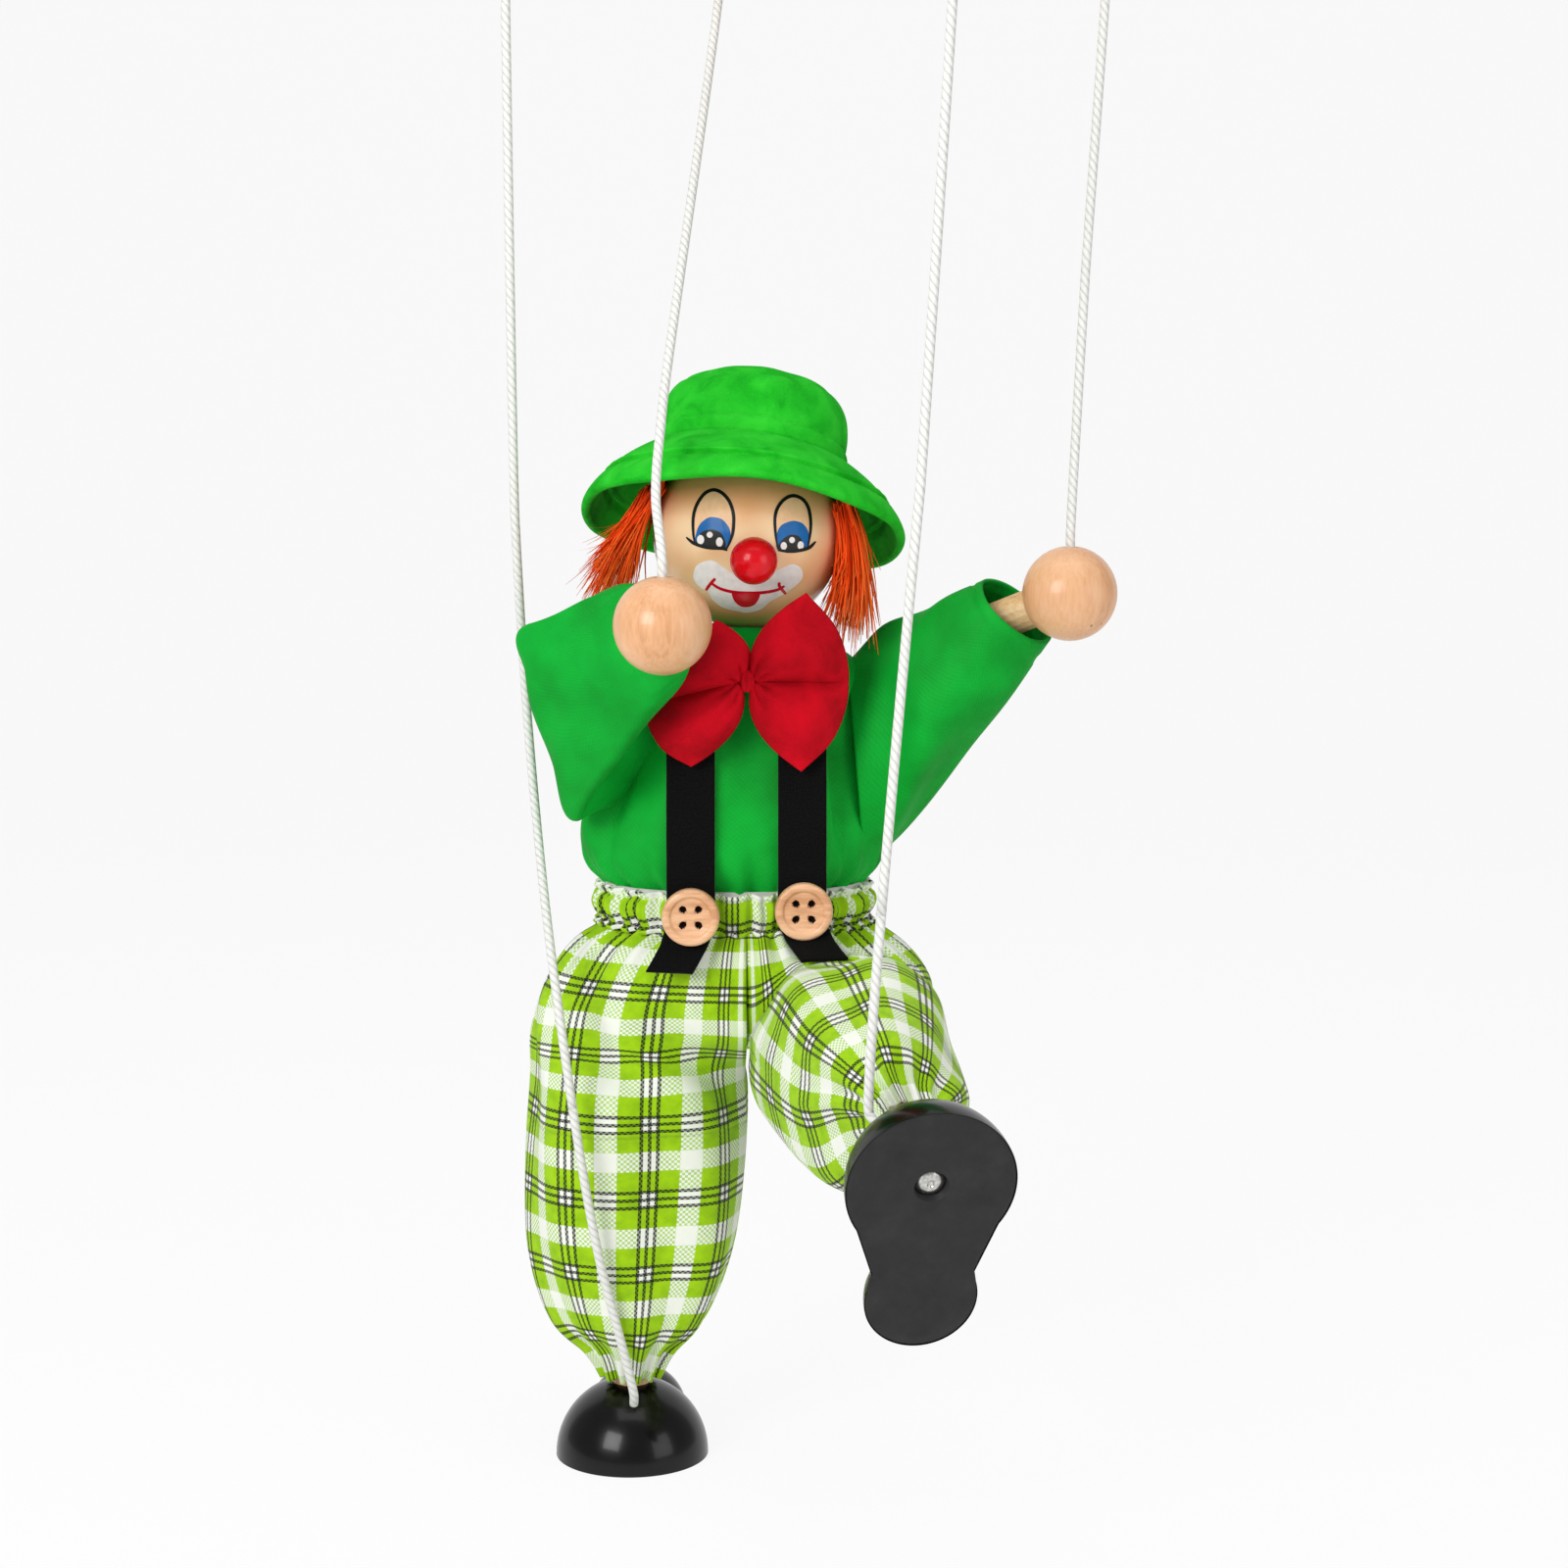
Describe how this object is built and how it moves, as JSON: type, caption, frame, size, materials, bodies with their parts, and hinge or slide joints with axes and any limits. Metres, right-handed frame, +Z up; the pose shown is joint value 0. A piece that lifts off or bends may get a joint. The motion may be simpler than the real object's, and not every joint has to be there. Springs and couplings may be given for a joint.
{
  "type": "string puppet",
  "caption": "Wooden clown marionette in cloth: jointed arms, legs and head, hung by cords from a crossed wooden hand control.",
  "frame": {"origin": "middle of the grip face on top of the crossed control", "axes": "+Z up, the figure faces -Y, +X to the viewer's right"},
  "size_m": [0.1379, 0.1516, 0.3456],
  "materials": {
    "pale_wood": "satin",
    "skin_wood": "satin lacquer",
    "ball_wood": "gloss lacquer",
    "black_lacquer": "gloss lacquer",
    "red_lacquer": "gloss lacquer",
    "green_cloth": "woven",
    "green_felt": "felt",
    "red_felt": "felt",
    "lime_plaid": "woven plaid",
    "black_ribbon": "velvet",
    "orange_hair": "fibre",
    "white_cord": "braided",
    "button_wood": "satin",
    "steel": "plated",
    "elastic": "woven elastic"
  },
  "bodies": {
    "control": {"control_stick_across": "pale_wood", "control_stick_fore": "pale_wood", "control_screw": "steel", "knot_left_foot": "white_cord", "knot_left_hand": "white_cord", "knot_right_foot": "white_cord", "knot_right_hand": "white_cord", "string_left_foot": "white_cord", "string_left_hand": "white_cord", "string_right_foot": "white_cord", "string_right_hand": "white_cord", "torso_block": "pale_wood", "shoulder_cord": "white_cord", "hip_pin": "steel", "shirt_body": "green_cloth", "bow_wing_left": "red_felt", "bow_wing_right": "red_felt", "bow_knot": "red_felt", "brace_left": "black_ribbon", "brace_right": "black_ribbon", "button_left": "button_wood", "button_right": "button_wood", "waistband": "lime_plaid", "waist_elastic": "elastic"},
    "neck": {"neck_bead": "pale_wood"},
    "head": {"head_ball": "skin_wood", "nose": "red_lacquer", "hat_crown": "green_felt", "hat_brim": "green_felt", "hair_left": "orange_hair", "hair_right": "orange_hair"},
    "arm_left": {"arm_dowel_left": "pale_wood", "hand_ball_left": "ball_wood", "sleeve_left": "green_cloth"},
    "arm_right": {"arm_dowel_right": "pale_wood", "hand_ball_right": "ball_wood", "sleeve_right": "green_cloth"},
    "thigh_left": {"thigh_dowel_left": "pale_wood", "knee_pin_left": "steel", "trouser_left": "lime_plaid"},
    "thigh_right": {"thigh_dowel_right": "pale_wood", "knee_pin_right": "steel", "trouser_right": "lime_plaid"},
    "shank_left": {"shank_dowel_left": "pale_wood", "foot_left": "black_lacquer", "sole_screw_left": "steel"},
    "shank_right": {"shank_dowel_right": "pale_wood", "foot_right": "black_lacquer", "sole_screw_right": "steel"}
  },
  "joints": [
    {"name": "neck_nod", "type": "hinge", "parent": "control", "child": "neck", "pos_m": [-0.018, 0.009, -0.1664], "axis": [1, 0, 0], "range_deg": [-15, 5]},
    {"name": "head_turn", "type": "hinge", "parent": "neck", "child": "head", "pos_m": [-0.018, 0.009, -0.1664], "axis": [0, 0, 1], "range_deg": [-30, 18]},
    {"name": "left_shoulder", "type": "hinge", "parent": "control", "child": "arm_left", "pos_m": [-0.045, 0.011, -0.175], "axis": [0.7071, 0, -0.7071], "range_deg": [-8, 40], "deforming": ["sleeve_left", "string_left_hand", "shoulder_cord"]},
    {"name": "right_shoulder", "type": "hinge", "parent": "control", "child": "arm_right", "pos_m": [0.003, 0.011, -0.175], "axis": [0, 1, 0], "range_deg": [-25, 45], "deforming": ["sleeve_right", "string_right_hand", "shoulder_cord"]},
    {"name": "left_hip", "type": "hinge", "parent": "control", "child": "thigh_left", "pos_m": [-0.038, 0.013, -0.238], "axis": [1, 0, 0], "range_deg": [-60, 15], "deforming": ["trouser_left", "string_left_foot"]},
    {"name": "left_knee", "type": "hinge", "parent": "thigh_left", "child": "shank_left", "pos_m": [-0.043, -0.004, -0.281], "axis": [1, 0, 0], "range_deg": [-20, 60], "deforming": ["trouser_left", "string_left_foot"]},
    {"name": "right_hip", "type": "hinge", "parent": "control", "child": "thigh_right", "pos_m": [-0.001, 0.013, -0.238], "axis": [1, 0, 0], "range_deg": [-4, 75], "deforming": ["trouser_right", "string_right_foot"]},
    {"name": "right_knee", "type": "hinge", "parent": "thigh_right", "child": "shank_right", "pos_m": [0.0076, -0.0314, -0.2399], "axis": [0.9851, 0.1719, 0], "range_deg": [-12, 70], "deforming": ["trouser_right", "string_right_foot"]}
  ]
}
